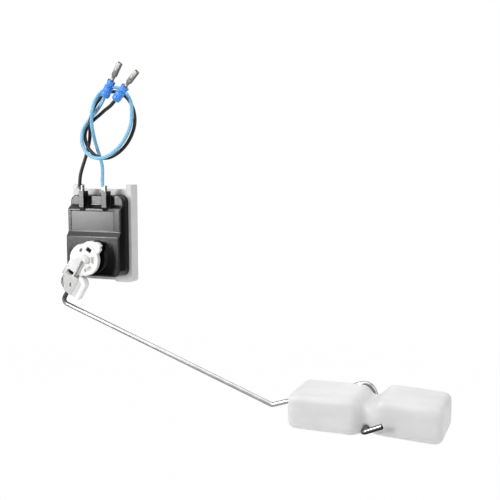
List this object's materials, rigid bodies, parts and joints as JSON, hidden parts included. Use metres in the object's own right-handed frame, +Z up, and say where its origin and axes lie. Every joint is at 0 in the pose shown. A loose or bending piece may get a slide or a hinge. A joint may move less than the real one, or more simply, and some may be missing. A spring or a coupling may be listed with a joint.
{
  "type": "fuel level sender",
  "caption": "Float on a bent wire arm that turns a magnet hub in front of a stepped, sealed sensor housing on a slide-in plate, with two knotted leads.",
  "frame": {"origin": "where the arm's pivot axis meets the back face of the mounting plate", "axes": "+X to the right seen from the front, +Y from the front to the back of the plate, +Z up"},
  "size_m": [0.1815, 0.0523, 0.148],
  "materials": {
    "white_plastic": "moulded, satin",
    "black_plastic": "moulded, fine grain",
    "hub_plastic": "moulded, satin",
    "float_foam": "smooth moulded skin",
    "arm_steel": "drawn wire, satin",
    "ceramic": "fired alumina, matt",
    "resist_ink": "printed, matt",
    "spring_foil": "rolled foil",
    "spacer_film": "amber film",
    "lid_metal": "drawn sheet",
    "tinned_brass": "tinned strip",
    "solder": "bright solder",
    "copper_strand": "welded strand",
    "black_sleeve": "smooth insulation",
    "blue_sleeve": "smooth insulation",
    "seal_rubber": "glossy silicone",
    "contact_tin": "tin plated, bright",
    "magnet": "ground, dull grey"
  },
  "bodies": {
    "sensor": {"mounting_plate": "white_plastic", "sensor_housing": "black_plastic", "housing_back_cover": "black_plastic", "resistor_card": "ceramic", "resistor_track": "resist_ink", "spacer_strip": "spacer_film", "contact_comb": "spring_foil", "sensor_lid": "lid_metal", "ground_terminal": "tinned_brass", "signal_terminal": "tinned_brass", "solder_joints": "solder", "black_lead_core": "copper_strand", "blue_lead_core": "copper_strand", "black_lead": "black_sleeve", "blue_lead": "blue_sleeve", "black_lead_seal": "seal_rubber", "blue_lead_seal": "seal_rubber", "black_lead_contact": "contact_tin", "blue_lead_contact": "contact_tin"},
    "arm": {"arm_hub": "hub_plastic", "hub_magnet": "magnet", "float_arm": "arm_steel"},
    "float": {"float": "float_foam"}
  },
  "joints": [
    {"name": "arm_swing", "type": "hinge", "parent": "sensor", "child": "arm", "pos_m": [0, 0, 0], "axis": [0, -1, 0], "range_deg": [0, 75]},
    {"name": "float_swivel", "type": "hinge", "parent": "arm", "child": "float", "pos_m": [0.13942, -0.0346, -0.05436], "axis": [0, -1, 0], "continuous": true}
  ]
}
